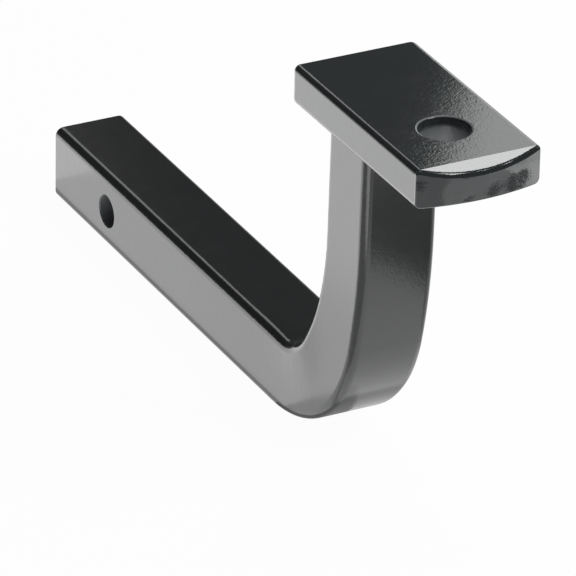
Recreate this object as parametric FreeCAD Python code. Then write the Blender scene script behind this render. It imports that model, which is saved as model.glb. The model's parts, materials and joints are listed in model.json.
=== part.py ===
"""Ball mount for a 1-1/4 in towing receiver: a bent square bar that rises to a welded ball plate.

Millimetres. The origin is the centre of the pin hole, on the axis of the shank. +X runs along the
shank towards the ball plate, +Y is across the bar and +Z is up. The part is symmetric about XZ.
"""
import FreeCAD
import Part
import math
import os

from FreeCAD import Vector

# Square bar that the shank, elbow and riser are bent from
BAR_SIDE = 31.75
BAR_EDGE_R = 3.5
END_EDGE = 1.0

# Shank, measured from the pin hole
PIN_HOLE_DIA = 13.5
PIN_TO_END = 49.5
PIN_TO_BEND = 146.7
PIN_HOLE_EDGE = 0.4

# Elbow and riser: a turn followed by a long gentle bow, on the outer and on the inner face
OUTER_BEND_R = 68.6
OUTER_BEND_TURN = 76.2
OUTER_BOW_R = 225.0
INNER_BEND_R = 21.9
INNER_BEND_TURN = 58.9
INNER_BOW_R = 106.0
RISER_ANGLE = 88.7
RISER_DEPTH = 30.6
RISE = 114.7

# Swelling of both side faces near the inside of the bend, where hot bending squeezes the metal:
# its height, how far it reaches towards the shank, towards the riser and up or down, and its
# place from where the inner bend starts
SWELL = 1.0
SWELL_TO_SHANK = 16.0
SWELL_TO_RISER = 9.0
SWELL_UP_DOWN = 15.0
SWELL_FORWARD = 17.0
SWELL_ABOVE_SHANK = 6.0

# Ball plate
PLATE_LENGTH = 102.2
PLATE_WIDTH = 51.8
PLATE_THICK = 15.9
PLATE_BACK = 11.4
PLATE_EDGE_R = 2.4
REAR_CORNER_R = 3.0
NOSE_EDGE_R = 0.6
NOSE_SAG = 3.6
NOSE_LAND = 0.1
NOSE_DROP = 3.6
BALL_HOLE_DIA = 19.8
BALL_HOLE_TO_NOSE = 29.9
BALL_HOLE_TOP_R = 0.9
BALL_HOLE_BOTTOM_EDGE = 0.5

# Fillet weld round the top of the riser, under the plate
WELD_LEG = 6.5
WELD_TOE = 0.8


class Trace:
    """A drawing pen in the XZ plane that lays lines and tangent arcs one after the other."""

    def __init__(self, x, z, heading):
        self.x = x
        self.z = z
        self.heading = math.radians(heading)
        self.edges = []

    def point(self):
        return Vector(self.x, 0, self.z)

    def line(self, length):
        start = self.point()
        self.x += length * math.cos(self.heading)
        self.z += length * math.sin(self.heading)
        self.edges.append(Part.makeLine(start, self.point()))

    def arc(self, radius, degrees):
        """Turn upwards, to the left of the pen."""
        start = self.point()
        turn = math.radians(degrees)
        middle = self.on_arc(radius, turn / 2)
        end = self.on_arc(radius, turn)
        self.x = end.x
        self.z = end.z
        self.heading += turn
        self.edges.append(Part.Arc(start, middle, end).toShape())

    def on_arc(self, radius, turn):
        after = self.heading + turn
        x = self.x + radius * (math.sin(after) - math.sin(self.heading))
        z = self.z - radius * (math.cos(after) - math.cos(self.heading))
        return Vector(x, 0, z)

    def climb_to(self, z):
        self.line((z - self.z) / math.sin(self.heading))


SHANK_BOTTOM = -BAR_SIDE / 2
SHANK_TOP = BAR_SIDE / 2
PLATE_BOTTOM = SHANK_TOP + RISE
PLATE_TOP = PLATE_BOTTOM + PLATE_THICK


def outer_face():
    """Underside of the shank, outside of the elbow and front of the riser."""
    trace = Trace(-PIN_TO_END, SHANK_BOTTOM, 0)
    trace.line(PIN_TO_END + PIN_TO_BEND)
    trace.arc(OUTER_BEND_R, OUTER_BEND_TURN)
    trace.arc(OUTER_BOW_R, RISER_ANGLE - OUTER_BEND_TURN)
    trace.climb_to(PLATE_BOTTOM)
    return trace


def inner_face(x):
    """Inside of the elbow and back of the riser, from where the shank's top face ends at x."""
    trace = Trace(x, SHANK_TOP, 0)
    trace.arc(INNER_BEND_R, INNER_BEND_TURN)
    trace.arc(INNER_BOW_R, RISER_ANGLE - INNER_BEND_TURN)
    trace.climb_to(PLATE_BOTTOM)
    return trace


RISER_FRONT = outer_face().x
RISER_BACK = RISER_FRONT - RISER_DEPTH
INNER_BEND_START = RISER_BACK - inner_face(0).x

PLATE_REAR = RISER_BACK - PLATE_BACK
NOSE_TIP = PLATE_REAR + PLATE_LENGTH
NOSE_CORNER = NOSE_TIP - NOSE_SAG
NOSE_LINE = NOSE_CORNER + NOSE_LAND
BALL_HOLE_X = NOSE_TIP - BALL_HOLE_TO_NOSE

SWELL_X = INNER_BEND_START + SWELL_FORWARD
SWELL_Z = SHANK_TOP + SWELL_ABOVE_SHANK
PATCH_START = SWELL_X - 3 * SWELL_TO_SHANK
PATCH_LENGTH = RISER_FRONT + BAR_EDGE_R - PATCH_START
PATCH_TOP = SWELL_Z + 3.5 * SWELL_UP_DOWN
PATCH_HEIGHT = PATCH_TOP - SHANK_BOTTOM + BAR_EDGE_R
PATCH_POLES = 13


def edges_where(shape, test):
    return [edge for edge in shape.Edges if test(edge)]


def lies_at(edge, axis, value):
    """True where the whole edge has one coordinate equal to the value."""
    low = getattr(edge.BoundBox, axis + "Min")
    high = getattr(edge.BoundBox, axis + "Max")
    return abs(low - value) < 1e-4 and abs(high - value) < 1e-4


def hole(dia, centre, axis, length, edge_break):
    """A drilled hole through a wall, centred on it, with a small chamfer cut at both mouths."""
    cutter = Part.makeCylinder(dia / 2, length, centre - axis * (length / 2), axis)
    for side in (-1, 1):
        mouth = centre + axis * (side * length / 2)
        inward = axis * -side
        cone = Part.makeCone(dia / 2 + edge_break, dia / 2, edge_break, mouth, inward)
        cutter = cutter.fuse(cone)
    return cutter


def swelling(x, z):
    """How far a side face stands out at this place, highest near the inside of the bend."""
    along = x - SWELL_X
    reach = SWELL_TO_RISER if along > 0 else SWELL_TO_SHANK
    return SWELL * math.exp(-(along / reach) ** 2 - ((z - SWELL_Z) / SWELL_UP_DOWN) ** 2)


def swollen_patch(side):
    """The part of a side face round the bend: a smooth surface that is flat along its borders."""
    last = PATCH_POLES - 1
    poles = []
    for i in range(PATCH_POLES):
        x = PATCH_START + PATCH_LENGTH * i / last
        row = []
        for j in range(PATCH_POLES):
            z = PATCH_TOP - PATCH_HEIGHT * j / last
            inside = 1 < i < last - 1 and 1 < j
            height = swelling(x, z) if inside else 0
            row.append(Vector(x, side * (BAR_SIDE / 2 + height), z))
        poles.append(row)
    spans = PATCH_POLES - 3
    knots = [float(k) for k in range(spans + 1)]
    repeats = [4] + [1] * (spans - 1) + [4]
    surface = Part.BSplineSurface()
    surface.buildFromPolesMultsKnots(poles, repeats, repeats, knots, knots, False, False, 3, 3)
    return surface.toShape()


def trim_side(bar, side):
    """Cut one side of the blank back to its side face, flat but for the patch round the bend."""
    allowance = 2 * SWELL
    low_y = BAR_SIDE / 2 if side > 0 else -BAR_SIDE / 2 - allowance
    box = bar.BoundBox
    slab = Part.makeBox(box.XLength, allowance, box.ZLength, Vector(box.XMin, low_y, box.ZMin))
    corner = Vector(PATCH_START, low_y, PATCH_TOP - PATCH_HEIGHT)
    window = Part.makeBox(PATCH_LENGTH, allowance, PATCH_HEIGHT, corner)
    bar = bar.cut(slab.cut(window)).Solids[0]
    over_patch = swollen_patch(side).extrude(Vector(0, side * allowance, 0))
    return bar.cut(over_patch).Solids[0]


def bent_bar():
    """The square bar: straight shank, hot-bent elbow and riser, with the corners rounded."""
    outer = outer_face()
    inner = inner_face(INNER_BEND_START)
    top = Part.makeLine(outer.point(), inner.point())
    shank_top = Part.makeLine(Vector(-PIN_TO_END, 0, SHANK_TOP), inner.edges[0].Vertexes[0].Point)
    end = Part.makeLine(Vector(-PIN_TO_END, 0, SHANK_TOP), Vector(-PIN_TO_END, 0, SHANK_BOTTOM))
    wire = Part.Wire(Part.__sortEdges__(outer.edges + [top] + inner.edges + [shank_top, end]))
    face = Part.Face(wire)
    half_blank = BAR_SIDE / 2 + 2 * SWELL
    face.translate(Vector(0, -half_blank, 0))
    bar = face.extrude(Vector(0, 2 * half_blank, 0))
    for side in (-1, 1):
        bar = trim_side(bar, side)

    def is_long_edge(edge):
        box = edge.BoundBox
        on_side = min(abs(box.YMin), abs(box.YMax)) > BAR_SIDE / 2 - 1e-4
        at_end = lies_at(edge, "Z", PLATE_BOTTOM) or lies_at(edge, "X", -PIN_TO_END)
        round_patch = lies_at(edge, "X", PATCH_START) or lies_at(edge, "Z", PATCH_TOP)
        return on_side and not at_end and not round_patch

    bar = bar.makeFillet(BAR_EDGE_R, edges_where(bar, is_long_edge))
    bar = bar.makeChamfer(END_EDGE, edges_where(bar, lambda e: lies_at(e, "X", -PIN_TO_END)))
    return bar.cut(hole(PIN_HOLE_DIA, Vector(0, 0, 0), Vector(0, 1, 0), BAR_SIDE, PIN_HOLE_EDGE))


def plate_outline():
    """Plan of the ball plate: a rectangle whose front end is a shallow arc."""
    half = PLATE_WIDTH / 2
    back_left = Vector(PLATE_REAR, half, PLATE_BOTTOM)
    back_right = Vector(PLATE_REAR, -half, PLATE_BOTTOM)
    front_right = Vector(NOSE_CORNER, -half, PLATE_BOTTOM)
    front_left = Vector(NOSE_CORNER, half, PLATE_BOTTOM)
    tip = Vector(NOSE_TIP, 0, PLATE_BOTTOM)
    nose = Part.Arc(front_right, tip, front_left).toShape()
    sides = [
        Part.makeLine(back_left, back_right),
        Part.makeLine(back_right, front_right),
        Part.makeLine(front_left, back_left),
    ]
    return Part.Wire(Part.__sortEdges__(sides + [nose]))


def nose_bevel():
    """Wedge that slopes the top of the nose down, from a straight line across the plate."""
    reach = 2 * NOSE_SAG
    fall = reach * NOSE_DROP / (NOSE_TIP - NOSE_LINE)
    start = Vector(NOSE_LINE, -PLATE_WIDTH, PLATE_TOP)
    points = [
        start,
        start + Vector(reach, 0, -fall),
        start + Vector(reach, 0, fall),
        start + Vector(0, 0, fall),
        start,
    ]
    return Part.Face(Part.makePolygon(points)).extrude(Vector(0, 2 * PLATE_WIDTH, 0))


def ball_plate():
    """The flat bar that carries the ball, cut to length, bevelled at the nose and drilled."""
    plate = Part.Face(plate_outline()).extrude(Vector(0, 0, PLATE_THICK))

    def runs_along_x(edge):
        box = edge.BoundBox
        return box.XLength > PLATE_LENGTH / 2 and box.YLength < 0.1 and box.ZLength < 0.1

    def is_mouth_of_bore(edge):
        circle = edge.Curve
        return isinstance(circle, Part.Circle) and abs(circle.Radius - BALL_HOLE_DIA / 2) < 1e-4

    def is_rear_corner(edge):
        return lies_at(edge, "X", PLATE_REAR) and edge.BoundBox.YLength < 0.1

    plate = plate.makeFillet(REAR_CORNER_R, edges_where(plate, is_rear_corner))
    plate = plate.makeFillet(PLATE_EDGE_R, edges_where(plate, runs_along_x))
    nose = edges_where(plate, lambda e: e.BoundBox.XMin > NOSE_CORNER - 0.2)
    plate = plate.makeFillet(NOSE_EDGE_R, nose)
    plate = plate.cut(nose_bevel()).Solids[0]
    bore = Part.makeCylinder(BALL_HOLE_DIA / 2, PLATE_THICK, Vector(BALL_HOLE_X, 0, PLATE_BOTTOM))
    plate = plate.cut(bore)
    mouths = edges_where(plate, is_mouth_of_bore)
    plate = plate.makeFillet(BALL_HOLE_TOP_R, [e for e in mouths if lies_at(e, "Z", PLATE_TOP)])
    mouths = edges_where(plate, is_mouth_of_bore)
    bottom = [e for e in mouths if lies_at(e, "Z", PLATE_BOTTOM)]
    return plate.makeChamfer(BALL_HOLE_BOTTOM_EDGE, bottom).Solids[0]


def rounded_section(margin, z):
    """Rounded rectangle about the riser at height z, wider than it by the margin on every side."""
    middle = (RISER_BACK + RISER_FRONT) / 2
    half_x = RISER_DEPTH / 2 + margin
    half_y = BAR_SIDE / 2 + margin
    corner = Vector(middle - half_x, -half_y, z)
    prism = Part.makeBox(2 * half_x, 2 * half_y, 1, corner)
    upright = edges_where(prism, lambda edge: edge.BoundBox.ZLength > 0.5)
    prism = prism.makeFillet(BAR_EDGE_R + margin, upright)
    flat = [face for face in prism.Faces if lies_at(face, "Z", z)]
    return flat[0].OuterWire


def weld_bead(bar):
    """Fillet weld all round the riser: a slope from the riser's faces out to the plate."""
    head = rounded_section(WELD_LEG, PLATE_BOTTOM)
    foot = rounded_section(WELD_TOE, PLATE_BOTTOM - WELD_LEG)
    collar = Part.makeLoft([head, foot], True, True)
    return collar.cut(bar)


def main():
    os.makedirs("parts", exist_ok=True)
    bar = bent_bar()
    pieces = {"bent_bar": bar, "ball_plate": ball_plate(), "weld_bead": weld_bead(bar)}
    for name, shape in pieces.items():
        for solid in shape.Solids:
            print(name, solid.isValid(), round(solid.Volume), solid.CenterOfMass)
        shape.exportStep(os.path.join("parts", name + ".step"))


main()
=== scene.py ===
"""A gloss black ball mount for a small towing receiver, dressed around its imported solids."""
import json
import math

import bpy
from mathutils import Matrix, Vector


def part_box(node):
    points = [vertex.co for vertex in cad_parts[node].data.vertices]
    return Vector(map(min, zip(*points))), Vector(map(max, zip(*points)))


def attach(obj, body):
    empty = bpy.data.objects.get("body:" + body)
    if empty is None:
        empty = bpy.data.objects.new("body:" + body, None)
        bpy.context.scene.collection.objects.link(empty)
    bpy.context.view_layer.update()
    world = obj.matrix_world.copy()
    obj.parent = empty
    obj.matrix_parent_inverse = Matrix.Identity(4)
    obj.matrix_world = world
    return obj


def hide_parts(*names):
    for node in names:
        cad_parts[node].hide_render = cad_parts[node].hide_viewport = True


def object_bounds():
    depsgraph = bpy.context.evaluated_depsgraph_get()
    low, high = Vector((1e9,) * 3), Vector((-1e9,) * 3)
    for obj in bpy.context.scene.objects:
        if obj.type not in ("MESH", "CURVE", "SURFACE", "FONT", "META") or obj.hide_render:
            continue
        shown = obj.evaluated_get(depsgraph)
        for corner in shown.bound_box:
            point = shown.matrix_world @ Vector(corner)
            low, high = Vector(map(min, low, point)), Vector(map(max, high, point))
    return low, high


bl_info = {
    "name": "Ball mount",
    "version": (1, 0, 0),
    "blender": (4, 5, 0),
    "location": "3D View > Sidebar > Ball mount",
    "description": "Paints the ball mount, lays its weld ripples and sets up the studio",
    "category": "Object",
}

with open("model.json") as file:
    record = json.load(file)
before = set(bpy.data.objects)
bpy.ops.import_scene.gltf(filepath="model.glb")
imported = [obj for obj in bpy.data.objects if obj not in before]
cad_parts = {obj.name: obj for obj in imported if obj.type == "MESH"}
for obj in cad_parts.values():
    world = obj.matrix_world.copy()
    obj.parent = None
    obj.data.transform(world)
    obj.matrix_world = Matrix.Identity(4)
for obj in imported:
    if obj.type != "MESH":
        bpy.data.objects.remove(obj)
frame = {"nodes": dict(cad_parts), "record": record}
CAD_LOW, CAD_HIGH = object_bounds()
WELD_LOW, WELD_HIGH = (Vector(corner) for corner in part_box("weld_bead"))
PLATE_LOW, PLATE_HIGH = (Vector(corner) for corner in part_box("ball_plate"))
MOUNTS = {mount["name"]: mount for mount in frame["record"]["mounts"]}
BALL_HOLE_X = MOUNTS["ball_hole"]["pos_m"][0]
BALL_HOLE_RADIUS = MOUNTS["ball_hole"]["dims"]["r_mm"] / 1000
PIN_HOLE_RADIUS = MOUNTS["pin_hole"]["dims"]["r_mm"] / 1000
FLOOR_Z = CAD_LOW[2]
PHOTO_SIDE = 576
ROOT = "root"

# The broad part of the orange peel: how many times as wide and as deep as the fine part
BROAD_PEEL_SIZE = 3.1
BROAD_PEEL_DEPTH = 0.9

# The bores' pale, rough coat without peel, which is painted light: how far past a bore's radius its wall
# is looked for, and in the ball hole the depth at which the painted light from below starts, the depth
# over which it blends in, and the painted highlight ring on the rim
WALL_SLACK = 0.0001
PAINTED_LIGHT_FROM = 0.0030
PAINTED_LIGHT_BLEND = 0.0020
RIM_HIGHLIGHT = 0.0004
RIM_HIGHLIGHT_WIDTH = 0.0004
RIM_HIGHLIGHT_DEPTH = 0.0009

# The plate's nose as packed: radius of its arc, where its bevel starts, and the bevel's slope
NOSE_ARC = 0.09497
NOSE_LINE = PLATE_HIGH.x - 0.0035
NOSE_SLOPE = 1.0286

# What the shear left of the nose: the top of its face rolled over, the bevel's edge turned a
# little, and marks on the face
FACE_BLEND = 0.0006
ROLLED = 0.0022
ROLLED_RADIUS = 0.0049
ROLLED_EVENED = 0.010
TURNED_EDGE = 0.0008
TURNED_EDGE_RADIUS = 0.0016
SHEAR_MARK_SIZE = 0.009
SHEAR_MARK_DEPTH = 0.0009
SHEAR_MARK_FROM = 0.002

# Fine unevenness of the weld metal under its coat
GRIT_SIZE = 0.0006
GRIT_DEPTH = 0.000012

# The weld's mesh: its points round the riser and across, those of a corner of the path, and the
# distance in which points are merged to close the ring
POINTS_AROUND = 801
POINTS_ACROSS = 26
CORNER_POINTS = 12
MERGED_WITHIN = 0.000002

# The weld's ripples: how far a ripple's ends lag and how far it wanders, in pitches, the noise it
# wanders by, how round the ridges are, how soon they fade at the toes, and the share of the lift
# that goes along each leg
RIPPLE_BOW = 0.8
RIPPLE_WANDER = 0.9
RIPPLE_WANDER_SCALE = 220.0
RIDGE_POWER = 0.7
TOE_POWER = 0.4
DIAGONAL = 0.7071


class BallMountCoat(bpy.types.PropertyGroup):
    """Gloss black powder coat."""

    bar_colour: bpy.props.FloatVectorProperty(
        name="Bar colour", description="Colour of the coat on the bar and the weld", subtype="COLOR",
        size=3, min=0, max=1, default=(0.0078, 0.0092, 0.0097))
    # Painted light: the plate's coat is lighter than the bar's, standing in for the brighter reflection on
    # the plate's top
    plate_painted_light_colour: bpy.props.FloatVectorProperty(
        name="Plate colour", description="Colour of the coat on the plate", subtype="COLOR", size=3,
        min=0, max=1, default=(0.0200, 0.0238, 0.0250))
    # Painted light: this pale colour goes on the bores' walls and on a ring on the ball hole's rim, for
    # light from below and for a highlight
    bore_painted_light_colour: bpy.props.FloatVectorProperty(
        name="Bore colour", description="Colour of the dull coat inside the bores", subtype="COLOR",
        size=3, min=0, max=1, default=(0.110, 0.120, 0.124))
    ior: bpy.props.FloatProperty(
        name="IOR", description="Index of refraction of the coat's clear surface", default=1.55,
        min=1, max=3)
    bar_roughness: bpy.props.FloatProperty(
        name="Bar roughness", description="Roughness of the gloss on the bar", default=0.19,
        min=0, max=1)
    plate_roughness: bpy.props.FloatProperty(
        name="Plate roughness", description="Roughness of the gloss on the plate", default=0.09,
        min=0, max=1)
    peel_size: bpy.props.FloatProperty(
        name="Peel size", description="Width of one dimple of the orange peel", default=0.0008,
        unit="LENGTH", subtype="DISTANCE")
    peel_depth: bpy.props.FloatProperty(
        name="Peel depth", description="Depth of the orange peel", default=0.00003,
        unit="LENGTH", subtype="DISTANCE")
    wave_size: bpy.props.FloatProperty(
        name="Wave size", description="Width of one of the steel's long, rolled-in waves", default=0.028,
        unit="LENGTH", subtype="DISTANCE")
    wave_depth: bpy.props.FloatProperty(
        name="Wave depth", description="Depth of the long waves", default=0.00004,
        unit="LENGTH", subtype="DISTANCE")
    haze_size: bpy.props.FloatProperty(
        name="Haze size", description="Width of one lump of the haze", default=0.009,
        unit="LENGTH", subtype="DISTANCE")
    haze_colour: bpy.props.FloatProperty(
        name="Haze in the colour", description="Share by which the haze changes the colour",
        default=0.14, min=0, max=1)
    haze_roughness: bpy.props.FloatProperty(
        name="Haze in the gloss", description="Range by which the haze changes the roughness",
        default=0.04, min=0, max=1)
    bore_roughness: bpy.props.FloatProperty(
        name="Bore roughness", description="How much rougher the coat is inside the bores",
        default=0.3, min=0, max=1)


class BallMountWeld(bpy.types.PropertyGroup):
    """Rippled fillet weld round the top of the riser."""

    corner: bpy.props.FloatProperty(
        name="Corner", description="Radius of the riser's corners, which the weld goes round",
        default=0.0035, unit="LENGTH", subtype="DISTANCE")
    crown: bpy.props.FloatProperty(
        name="Crown", description="How far the middle of the weld stands out", default=0.0006,
        unit="LENGTH", subtype="DISTANCE")
    pitch: bpy.props.FloatProperty(
        name="Ripple pitch", description="Distance from one ripple to the next", default=0.0021,
        unit="LENGTH", subtype="DISTANCE")
    depth: bpy.props.FloatProperty(
        name="Ripple depth", description="Height of a ripple", default=0.0004,
        unit="LENGTH", subtype="DISTANCE")
    seed: bpy.props.IntProperty(
        name="Seed", description="Picks the unevenness of the ripples", default=4)


class BallMountStudio(bpy.types.PropertyGroup):
    """Camera and even light."""

    camera_place: bpy.props.FloatVectorProperty(
        name="Camera place", description="Where the camera stands", subtype="TRANSLATION", size=3,
        default=(2.12052, -1.04121, 1.19590))
    azimuth: bpy.props.FloatProperty(
        name="Azimuth", description="Direction of the camera round the part", subtype="ANGLE",
        default=math.radians(62.41))
    elevation: bpy.props.FloatProperty(
        name="Elevation", description="How far the camera looks down", subtype="ANGLE",
        default=math.radians(27.58))
    roll: bpy.props.FloatProperty(
        name="Roll", description="Tilt of the camera about its own axis", subtype="ANGLE",
        default=math.radians(1.25))
    focal_pixels: bpy.props.FloatProperty(
        name="Focal length", description="Focal length in pixels of the photograph", default=6500)
    centre: bpy.props.FloatVectorProperty(
        name="Centre", description="Where the camera's axis meets the picture, in pixels", size=2,
        default=(285.48, 289.03))
    fill: bpy.props.FloatProperty(
        name="Fill", description="Strength of the even light from all round", default=0.1)


class Value:
    """A socket in a node tree. Arithmetic on it adds Math nodes."""

    def __init__(self, nodes, socket):
        self.nodes = nodes
        self.socket = socket

    def maths(self, operation, *values):
        """Math node with this value first, then the others."""
        inputs = dict(enumerate((self,) + values))
        return self.nodes.node("ShaderNodeMath", {"operation": operation}, inputs)

    def limited(self, low, high):
        return self.maths("MAXIMUM", low).maths("MINIMUM", high)

    def __add__(self, other):
        return self.maths("ADD", other)

    def __sub__(self, other):
        return self.maths("SUBTRACT", other)

    def __rsub__(self, other):
        return self.maths("MULTIPLY", -1) + other

    def __mul__(self, other):
        return self.maths("MULTIPLY", other)

    def __truediv__(self, other):
        return self.maths("DIVIDE", other)


class Nodes:
    """Builds one node tree: each call adds a node, sets it up and links what it is given."""

    def __init__(self, tree):
        self.tree = tree

    def node(self, kind, settings, inputs, out=0):
        """Inputs are told apart by name, or by number where two share a name."""
        node = self.tree.nodes.new(kind)
        for name, value in settings.items():
            setattr(node, name, value)
        for key, value in inputs.items():
            if isinstance(value, Value):
                self.tree.links.new(value.socket, node.inputs[key])
            else:
                node.inputs[key].default_value = value
        return Value(self, node.outputs[out]) if len(node.outputs) else None

    def place(self):
        """Where on the object the coat is."""
        return self.node("ShaderNodeTexCoord", {}, {}, out="Object")

    def split(self, vector):
        """The three coordinates of a vector."""
        first = self.node("ShaderNodeSeparateXYZ", {}, {0: vector})
        return [Value(self, socket) for socket in first.socket.node.outputs]

    def noise(self, vector, size, detail):
        """Smooth noise from 0 to 1, with lumps of the given size in metres."""
        return self.node("ShaderNodeTexNoise", {}, {"Vector": vector, "Scale": 1 / size, "Detail": detail})

    def mixed(self, factor, first, second):
        """A colour between two others."""
        return self.node("ShaderNodeMix", {"data_type": "RGBA"}, {0: factor, 6: first, 7: second}, out=2)

    def vectors(self, operation, *values, scale=None):
        """Arithmetic on vectors."""
        inputs = dict(enumerate(values))
        if scale is not None:
            inputs["Scale"] = scale
        return self.node("ShaderNodeVectorMath", {"operation": operation}, inputs)

    def inputs(self, kinds):
        """Named inputs of a geometry tree."""
        for name, kind in kinds.items():
            self.tree.interface.new_socket(name, in_out="INPUT", socket_type="NodeSocket" + kind)
        start = self.tree.nodes.new("NodeGroupInput")
        return {name: Value(self, start.outputs[name]) for name in kinds}

    def outlet(self, geometry):
        """The mesh that a geometry tree gives."""
        self.tree.interface.new_socket("Geometry", in_out="OUTPUT", socket_type="NodeSocketGeometry")
        self.node("NodeGroupOutput", {}, {0: geometry})


def new_material(name):
    material = bpy.data.materials.new(name)
    material.use_nodes = True
    material.node_tree.nodes.clear()
    return material, Nodes(material.node_tree)


def lay_coat(nodes, coat, colour, roughness, peel, waves=0.0, bore=None, relief=0.0):
    """Gloss black powder coat: orange peel, long waves of the steel below and a fine haze.

    Inside a bore the coat lies rougher and without peel, and its colour goes to the pale bore colour,
    which is painted light. Relief is more height for the steel below.
    """
    place = nodes.place()
    fine = nodes.noise(place, coat.peel_size, 1.0)
    broad = nodes.noise(place, BROAD_PEEL_SIZE * coat.peel_size, 1.0)
    dimples = (fine + broad * BROAD_PEEL_DEPTH) * (peel * coat.peel_depth)
    haze = nodes.noise(place, coat.haze_size, 3.0)
    dark = [(1 - coat.haze_colour) * channel for channel in colour] + [1]
    light = [(1 + coat.haze_colour) * channel for channel in colour] + [1]
    shade = nodes.mixed(haze, dark, light)
    gloss = (haze - 0.5) * coat.haze_roughness + roughness
    if bore:
        dimples = dimples * (1 - bore)
        # Painted light: where the bore mask is, the colour goes to the pale bore colour
        shade = nodes.mixed(bore, shade, [*coat.bore_painted_light_colour, 1])
        gloss = gloss + bore * coat.bore_roughness
    long_waves = nodes.noise(place, coat.wave_size, 0.0) * (waves * coat.wave_depth)
    height = dimples + long_waves + relief
    bumped = nodes.node("ShaderNodeBump", {}, {"Strength": 1.0, "Distance": 1.0, "Height": height})
    shader = nodes.node("ShaderNodeBsdfPrincipled", {}, {
        "Base Color": shade,
        "Roughness": gloss,
        "IOR": coat.ior,
        "Normal": bumped,
    })
    nodes.node("ShaderNodeOutputMaterial", {}, {"Surface": shader})


def bar_coat(coat):
    """Coat of the bar, with the pin hole across it."""
    material, nodes = new_material("bar_coating")
    x, _, z = nodes.split(nodes.place())
    # The pin hole's wall takes the same pale bore colour, and is rougher and without peel
    bore = (x * x + z * z).maths("LESS_THAN", (PIN_HOLE_RADIUS + WALL_SLACK) ** 2)
    lay_coat(nodes, coat, coat.bar_colour, coat.bar_roughness, peel=1.0, waves=1.0, bore=bore)
    return material


def plate_coat(coat):
    """Coat of the plate, over the ball hole and over what the shear left of the nose."""
    material, nodes = new_material("plate_coating")
    place = nodes.place()
    x, y, z = nodes.split(place)

    # Painted light: deep in the ball hole the wall is painted pale, for light from below, and a thin ring
    # on its rounded rim is painted pale as a painted highlight; in both the coat is also rougher and
    # without peel
    aside = x - BALL_HOLE_X
    outside = (aside * aside + y * y).maths("SQRT") - BALL_HOLE_RADIUS
    depth = PLATE_HIGH.z - z
    bore = outside.maths("LESS_THAN", WALL_SLACK) * ((depth - PAINTED_LIGHT_FROM) / PAINTED_LIGHT_BLEND).limited(0, 1)
    # Painted highlight: a thin ring on the rounded rim, near its top, takes the pale bore colour
    ring = (outside - RIM_HIGHLIGHT).maths("ABSOLUTE").maths("LESS_THAN", RIM_HIGHLIGHT_WIDTH / 2)
    ring = ring * depth.maths("LESS_THAN", RIM_HIGHLIGHT_DEPTH)

    # How far a spot lies behind the nose's arc, and how far below the plane of its bevel
    behind = ((NOSE_ARC ** 2 - y * y).maths("SQRT") - x + (PLATE_HIGH.x - NOSE_ARC)).maths("ABSOLUTE")
    below = (PLATE_HIGH.z + NOSE_LINE * NOSE_SLOPE) - x * NOSE_SLOPE - z
    on_face = (1 - behind / FACE_BLEND).limited(0, 1)

    # The face falls away in an arc to its upper edge, and evens out towards the lower one
    to_flat = (ROLLED - below).limited(0, ROLLED)
    evened = ((z - PLATE_LOW.z) / ROLLED_EVENED).limited(0, 1)
    rolled = (ROLLED ** 2 - to_flat * to_flat) / (2 * ROLLED_RADIUS) * evened
    marks = nodes.noise(place, SHEAR_MARK_SIZE, 0.0) * SHEAR_MARK_DEPTH
    marks = marks * (below / SHEAR_MARK_FROM).limited(0, 1)
    turned = (TURNED_EDGE - behind).limited(0, TURNED_EDGE)
    relief = on_face * (rolled + marks) - turned * turned / (2 * TURNED_EDGE_RADIUS)
    # bore + ring carries the painted light deep in the ball hole and the painted highlight on its rim
    lay_coat(
        nodes, coat, coat.plate_painted_light_colour, coat.plate_roughness, peel=0.9, waves=0.6, bore=bore + ring,
        relief=relief)
    return material


def weld_coat(coat):
    """Coat of the weld, over fine unevenness of its metal."""
    material, nodes = new_material("weld_coating")
    grit = nodes.noise(nodes.place(), GRIT_SIZE, 2.0) * GRIT_DEPTH
    lay_coat(nodes, coat, coat.bar_colour, coat.bar_roughness, peel=0.5, relief=grit)
    return material


def paint(piece, material):
    piece.data.materials.clear()
    piece.data.materials.append(material)


class BALLMOUNT_OT_bar(bpy.types.Operator):
    """Paint the bent square bar"""

    bl_idname = "ball_mount.bar"
    bl_label = "Bent bar"

    def execute(self, context):
        coat = context.scene.ball_mount_coat
        paint(frame["nodes"]["bent_bar"], bar_coat(coat))
        return {"FINISHED"}


class BALLMOUNT_OT_plate(bpy.types.Operator):
    """Paint the ball plate"""

    bl_idname = "ball_mount.plate"
    bl_label = "Ball plate"

    def execute(self, context):
        coat = context.scene.ball_mount_coat
        paint(frame["nodes"]["ball_plate"], plate_coat(coat))
        return {"FINISHED"}


class BALLMOUNT_OT_weld(bpy.types.Operator):
    """Lay the rippled fillet weld between the riser and the plate"""

    bl_idname = "ball_mount.weld"
    bl_label = "Weld ripples"

    def execute(self, context):
        weld = context.scene.ball_mount_weld
        coat = context.scene.ball_mount_coat
        leg = WELD_HIGH.z - WELD_LOW.z
        tree = weld_tree()
        piece = grow("weld_ripples", tree, {
            "Place": ((WELD_LOW.x + WELD_HIGH.x) / 2, 0, WELD_HIGH.z),
            "Riser depth": WELD_HIGH.x - WELD_LOW.x - 2 * leg,
            "Riser width": WELD_HIGH.y - WELD_LOW.y - 2 * leg,
            "Corner": weld.corner,
            "Leg": leg,
            "Crown": weld.crown,
            "Pitch": weld.pitch,
            "Depth": weld.depth,
            "Seed": weld.seed,
            "Coat": weld_coat(coat),
        })
        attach(piece, ROOT)
        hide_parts("weld_bead")
        return {"FINISHED"}


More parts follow.
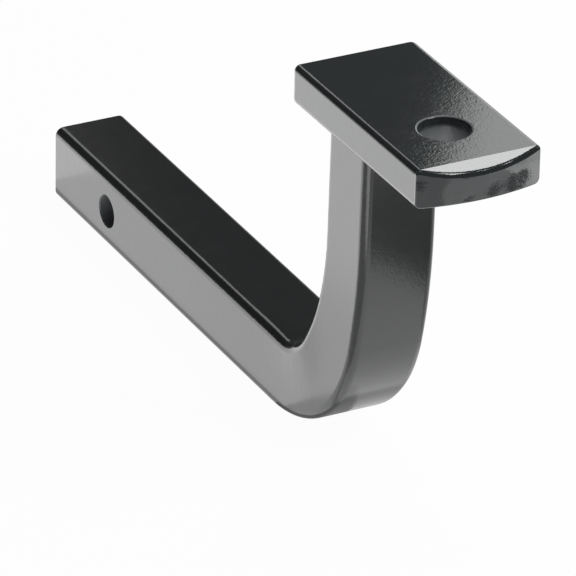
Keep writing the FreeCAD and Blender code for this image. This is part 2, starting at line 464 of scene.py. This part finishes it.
def weld_tree():
    """Closed ring round the riser's corners: a crowned slope out to the plate, crossed by ripples."""
    tree = bpy.data.node_groups.new("weld_ripples", "GeometryNodeTree")
    nodes = Nodes(tree)
    given = nodes.inputs({
        "Place": "Vector", "Riser depth": "Float", "Riser width": "Float", "Corner": "Float",
        "Leg": "Float", "Crown": "Float", "Pitch": "Float", "Depth": "Float", "Seed": "Int",
        "Coat": "Material"})
    strip = nodes.node("GeometryNodeMeshGrid", {}, {
        "Size X": 1.0, "Size Y": 1.0, "Vertices X": POINTS_AROUND, "Vertices Y": POINTS_ACROSS})
    on_strip = nodes.node("GeometryNodeInputPosition", {}, {})
    around, across, _ = (side + 0.5 for side in nodes.split(on_strip))

    outline = nodes.node("GeometryNodeCurvePrimitiveQuadrilateral", {}, {
        "Width": given["Riser depth"], "Height": given["Riser width"]})
    outline = nodes.node("GeometryNodeFilletCurve", {"mode": "POLY"}, {
        "Curve": outline, "Count": CORNER_POINTS, "Radius": given["Corner"]})
    sample = {"Curves": outline, "Factor": around}
    path = nodes.node("GeometryNodeSampleCurve", {}, sample, out="Position")
    tangent = nodes.node("GeometryNodeSampleCurve", {}, sample, out="Tangent")
    outward = nodes.vectors("CROSS_PRODUCT", tangent, (0, 0, 1))

    # The slope takes four fifths of the strip. The rest goes back along the plate and the riser.
    slope = (across * 1.25).limited(0, 1)
    back = (across * 5 - 4).limited(0, 1)
    reach = slope * (1 - back * 2).limited(0, 1)
    fall = (1 - slope) + (back * 2 - 1).limited(0, 1)

    length = nodes.node("GeometryNodeCurveLength", {}, {"Curve": outline})
    ripples = (length / given["Pitch"]).maths("ROUND")
    uneven = nodes.node("ShaderNodeTexNoise", {"noise_dimensions": "4D"}, {
        "Vector": path, "W": given["Seed"], "Scale": RIPPLE_WANDER_SCALE, "Detail": 1.0})
    bow = (slope * 2 - 1) * (slope * 2 - 1)
    phase = around * ripples + bow * RIPPLE_BOW + uneven * RIPPLE_WANDER
    ridge = (phase * math.pi).maths("SINE").maths("ABSOLUTE").maths("POWER", RIDGE_POWER)
    middle = slope * (1 - slope) * 4
    lift = middle * given["Crown"] + middle.maths("POWER", TOE_POWER) * ridge * given["Depth"]
    lift = lift * DIAGONAL

    aside = nodes.vectors("SCALE", outward, scale=reach * given["Leg"] + lift)
    down = nodes.node("ShaderNodeCombineXYZ", {}, {"Z": 0 - (fall * given["Leg"] + lift)})
    off_path = nodes.vectors("ADD", aside, down)
    spot = nodes.vectors("ADD", nodes.vectors("ADD", path, given["Place"]), off_path)
    ring = nodes.node("GeometryNodeSetPosition", {}, {"Geometry": strip, "Position": spot})
    ring = nodes.node("GeometryNodeMergeByDistance", {}, {"Geometry": ring, "Distance": MERGED_WITHIN})
    ring = nodes.node("GeometryNodeSetShadeSmooth", {}, {"Geometry": ring})
    ring = nodes.node("GeometryNodeRealizeInstances", {}, {"Geometry": ring})
    ring = nodes.node("GeometryNodeSetMaterial", {}, {"Geometry": ring, "Material": given["Coat"]})
    nodes.outlet(ring)
    return tree


def grow(name, tree, values):
    """Plain mesh object that a geometry tree gives for these values of its inputs."""
    maker = bpy.data.objects.new(name, bpy.data.meshes.new("seed_of_" + name))
    bpy.context.collection.objects.link(maker)
    modifier = maker.modifiers.new(name, "NODES")
    modifier.node_group = tree
    for item in tree.interface.items_tree:
        if item.in_out == "INPUT":
            modifier[item.identifier] = values[item.name]
    graph = bpy.context.evaluated_depsgraph_get()
    mesh = bpy.data.meshes.new_from_object(maker.evaluated_get(graph))
    maker.modifiers.clear()
    maker.data = mesh
    mesh.name = name
    return maker


class BALLMOUNT_OT_stage(bpy.types.Operator):
    """Set up the floor, the lights, the world and the camera"""

    bl_idname = "ball_mount.stage"
    bl_label = "Stage"

    def execute(self, context):
        studio = context.scene.ball_mount_studio
        context.scene.view_settings.view_transform = "Standard"
        set_world(context.scene, studio)
        lay_floor()
        for light in SOFTBOXES:
            hang_softbox(*light)
        for light in LIGHT_TABLES:
            lay_light_table(*light)
        lay_grey_cards()
        place_camera(context.scene, studio)
        return {"FINISHED"}


def set_world(scene, studio):
    """White to the camera, and a dim even grey to everything else."""
    world = bpy.data.worlds.new("studio")
    world.use_nodes = True
    world.node_tree.nodes.clear()
    nodes = Nodes(world.node_tree)
    seen = nodes.node("ShaderNodeLightPath", {}, {}, out="Is Camera Ray")
    strength = seen * (1 - studio.fill) + studio.fill
    background = nodes.node("ShaderNodeBackground", {}, {"Color": (1, 1, 1, 1), "Strength": strength})
    nodes.node("ShaderNodeOutputWorld", {}, {"Surface": background})
    scene.world = world


def lay_sheet(name, low_x, high_x, low_y, high_y, height, material):
    """Flat sheet of the stage, at this height above the floor."""
    z = FLOOR_Z + height
    corners = [(low_x, low_y, z), (high_x, low_y, z), (high_x, high_y, z), (low_x, high_y, z)]
    mesh = bpy.data.meshes.new(name)
    mesh.from_pydata(corners, [], [(0, 1, 2, 3)])
    mesh.materials.append(material)
    sheet = bpy.data.objects.new(name, mesh)
    bpy.context.collection.objects.link(sheet)
    return sheet


def lay_floor():
    """Pale sheet under the part, white to the camera and in the gloss, which keeps a soft shadow."""
    material, nodes = new_material("pale_sheet")
    camera, gloss, glass = (
        nodes.node("ShaderNodeLightPath", {}, {}, out=f"Is {ray} Ray")
        for ray in ("Camera", "Glossy", "Transmission"))
    seen = camera.maths("MAXIMUM", gloss.maths("MAXIMUM", glass))
    paper = nodes.node("ShaderNodeBsdfDiffuse", {}, {"Color": (0.85, 0.85, 0.85, 1)})
    white = nodes.node("ShaderNodeEmission", {}, {"Color": (1, 1, 1, 1), "Strength": 1.0})
    surface = nodes.node("ShaderNodeMixShader", {}, {0: seen * FLOOR_WHITE, 1: paper, 2: white})
    nodes.node("ShaderNodeOutputMaterial", {}, {"Surface": surface})
    lay_sheet("floor", -FLOOR_REACH, FLOOR_REACH, -FLOOR_REACH, FLOOR_REACH, 0.0, material)


def lay_grey_cards():
    """Cards that only the gloss shows, as dark patches on the bend, the riser's front and the nose. The
    bend's and the riser's are painted shadow, for the part's shadow on the floor, and the bend's glows
    dimly.
    """
    for name, low_x, high_x, low_y, high_y, glow in GREY_CARDS:
        material, nodes = new_material(name)
        grey = nodes.node("ShaderNodeBsdfPrincipled", {}, {
            "Base Color": CARD_GREY, "Roughness": 1.0, "Emission Strength": glow})
        nodes.node("ShaderNodeOutputMaterial", {}, {"Surface": grey})
        card = lay_sheet(name, low_x, high_x, low_y, high_y, CARD_HEIGHT, material)
        card.visible_camera = False
        card.visible_diffuse = False
        card.visible_shadow = False


# The floor's reach and the share of it that shows white. The cards and the light tables lie just
# above it, one above the other.
FLOOR_REACH = 6.0
FLOOR_WHITE = 0.97
CARD_HEIGHT = 0.001
TABLE_HEIGHT = 0.002
CARD_GREY = (0.42, 0.42, 0.42, 1)

# Softboxes: name, middle, point aimed at, width, height, turn about its own axis, radiance
SOFTBOXES = (
    ("key", (0.83, 0.42, 0.85), (0.28, 0.0, 0.146), 0.4, 0.4, 0, 12.5),
    ("end_box", (-0.80, 0.20, 0.78), (0.13, 0.0, 0.05), 0.30, 0.6, 0, 1.8),
    ("back_box", (-0.1195, 0.4066, 0.4498), (0.3507, 0.1434, 0.1859), 0.35, 0.5, 165.5, 2.05),
    ("overhead", (-0.30, 0.25, 1.25), (0.25, 0.0, 0.146), 0.6, 0.6, 0, 3.0),
)

# Grey cards on the floor: name, lowest and highest x, then y, and glow. The bend's and the riser's cards
# are painted shadow, standing in for the part's shadow on the floor.
GREY_CARDS = (
    ("grey_card_bend", 0.150, 0.208, -0.018, 0.006, 0.35),
    ("grey_card_riser", 0.29, 0.435, 0.066, 0.20, 0.0),
    ("grey_card_nose", 0.60, 0.80, -0.06, 0.30, 0.0),
)

# Light tables that lie face up just above the floor: name, lowest and highest x, then y, radiance
LIGHT_TABLES = (
    ("far_table", -0.30, 0.135, -0.42, -0.085, 1.8),
    ("end_table", -0.20, -0.06, -0.085, -0.018, 1.75),
    ("near_table", -0.06, 0.155, -0.085, -0.018, 1.2),
    ("bend_table", 0.155, 0.190, -0.085, -0.018, 0.5),
    ("front_table", 0.197, 0.40, -0.05, 0.064, 0.8),
    ("front_left_table", 0.36, 0.62, -0.28, -0.07, 2.4),
    ("nose_table", 0.44, 0.60, 0.03, 0.205, 0.6),
    ("nose_table_right", 0.34, 0.60, 0.205, 0.38, 2.1),
)


def lamp_of(name, width, height, radiance, place):
    """Rectangular soft light, hidden from the camera but not from the gloss."""
    light = bpy.data.lights.new(name, "AREA")
    light.shape = "RECTANGLE"
    light.size = width
    light.size_y = height
    light.energy = radiance * math.pi * width * height
    lamp = bpy.data.objects.new(name, light)
    lamp.matrix_world = place
    lamp.visible_camera = False
    bpy.context.collection.objects.link(lamp)


def hang_softbox(name, middle, target, width, height, turn, radiance):
    """Softbox aimed at a point."""
    aim = (Vector(target) - Vector(middle)).to_track_quat("-Z", "Y").to_matrix().to_4x4()
    place = Matrix.Translation(middle) @ aim @ Matrix.Rotation(math.radians(turn), 4, "Z")
    lamp_of(name, width, height, radiance, place)


def lay_light_table(name, low_x, high_x, low_y, high_y, radiance):
    """Light table under the part, face up."""
    middle = ((low_x + high_x) / 2, (low_y + high_y) / 2, FLOOR_Z + TABLE_HEIGHT)
    face_up = Matrix.Rotation(math.pi, 4, "X")
    lamp_of(name, high_x - low_x, high_y - low_y, radiance, Matrix.Translation(middle) @ face_up)


def place_camera(scene, studio):
    """The photograph's viewpoint, with its roll and its off-centre axis."""
    a, e, roll = studio.azimuth, studio.elevation, studio.roll
    forward = Vector((-math.sin(a) * math.cos(e), math.cos(a) * math.cos(e), -math.sin(e)))
    level = Vector((math.cos(a), math.sin(a), 0))
    over = level.cross(forward)
    right = level * math.cos(roll) + over * math.sin(roll)
    up = over * math.cos(roll) - level * math.sin(roll)
    data = bpy.data.cameras.new("camera")
    data.sensor_width = 36.0
    data.lens = data.sensor_width * studio.focal_pixels / PHOTO_SIDE
    data.shift_x = 0.5 - studio.centre[0] / PHOTO_SIDE
    data.shift_y = studio.centre[1] / PHOTO_SIDE - 0.5
    data.clip_start = 0.05
    data.clip_end = 50.0
    camera = bpy.data.objects.new("camera", data)
    turn = Matrix((right, up, -forward)).transposed().to_4x4()
    camera.matrix_world = Matrix.Translation(studio.camera_place) @ turn
    bpy.context.collection.objects.link(camera)
    scene.camera = camera


class BALLMOUNT_PT_parts(bpy.types.Panel):
    """Lists the ball mount's pieces and the stage"""

    bl_label = "Ball mount"
    bl_space_type = "VIEW_3D"
    bl_region_type = "UI"
    bl_category = "Ball mount"

    def draw(self, context):
        for operator in OPERATORS:
            self.layout.operator(operator.bl_idname)
        for name in SETTINGS:
            settings = getattr(context.scene, name)
            for key in settings.__annotations__:
                self.layout.prop(settings, key)


SETTINGS = {
    "ball_mount_coat": BallMountCoat,
    "ball_mount_weld": BallMountWeld,
    "ball_mount_studio": BallMountStudio,
}
OPERATORS = (BALLMOUNT_OT_bar, BALLMOUNT_OT_plate, BALLMOUNT_OT_weld, BALLMOUNT_OT_stage)


def register():
    for group in SETTINGS.values():
        bpy.utils.register_class(group)
    for name, group in SETTINGS.items():
        setattr(bpy.types.Scene, name, bpy.props.PointerProperty(type=group))
    for operator in OPERATORS:
        bpy.utils.register_class(operator)
    bpy.utils.register_class(BALLMOUNT_PT_parts)


def unregister():
    bpy.utils.unregister_class(BALLMOUNT_PT_parts)
    for operator in reversed(OPERATORS):
        bpy.utils.unregister_class(operator)
    for name in SETTINGS:
        delattr(bpy.types.Scene, name)
    for group in reversed(SETTINGS.values()):
        bpy.utils.unregister_class(group)


def main():
    register()
    bpy.ops.ball_mount.bar()
    bpy.ops.ball_mount.plate()
    bpy.ops.ball_mount.weld()
    bpy.ops.ball_mount.stage()


if __name__ == "__main__":
    main()
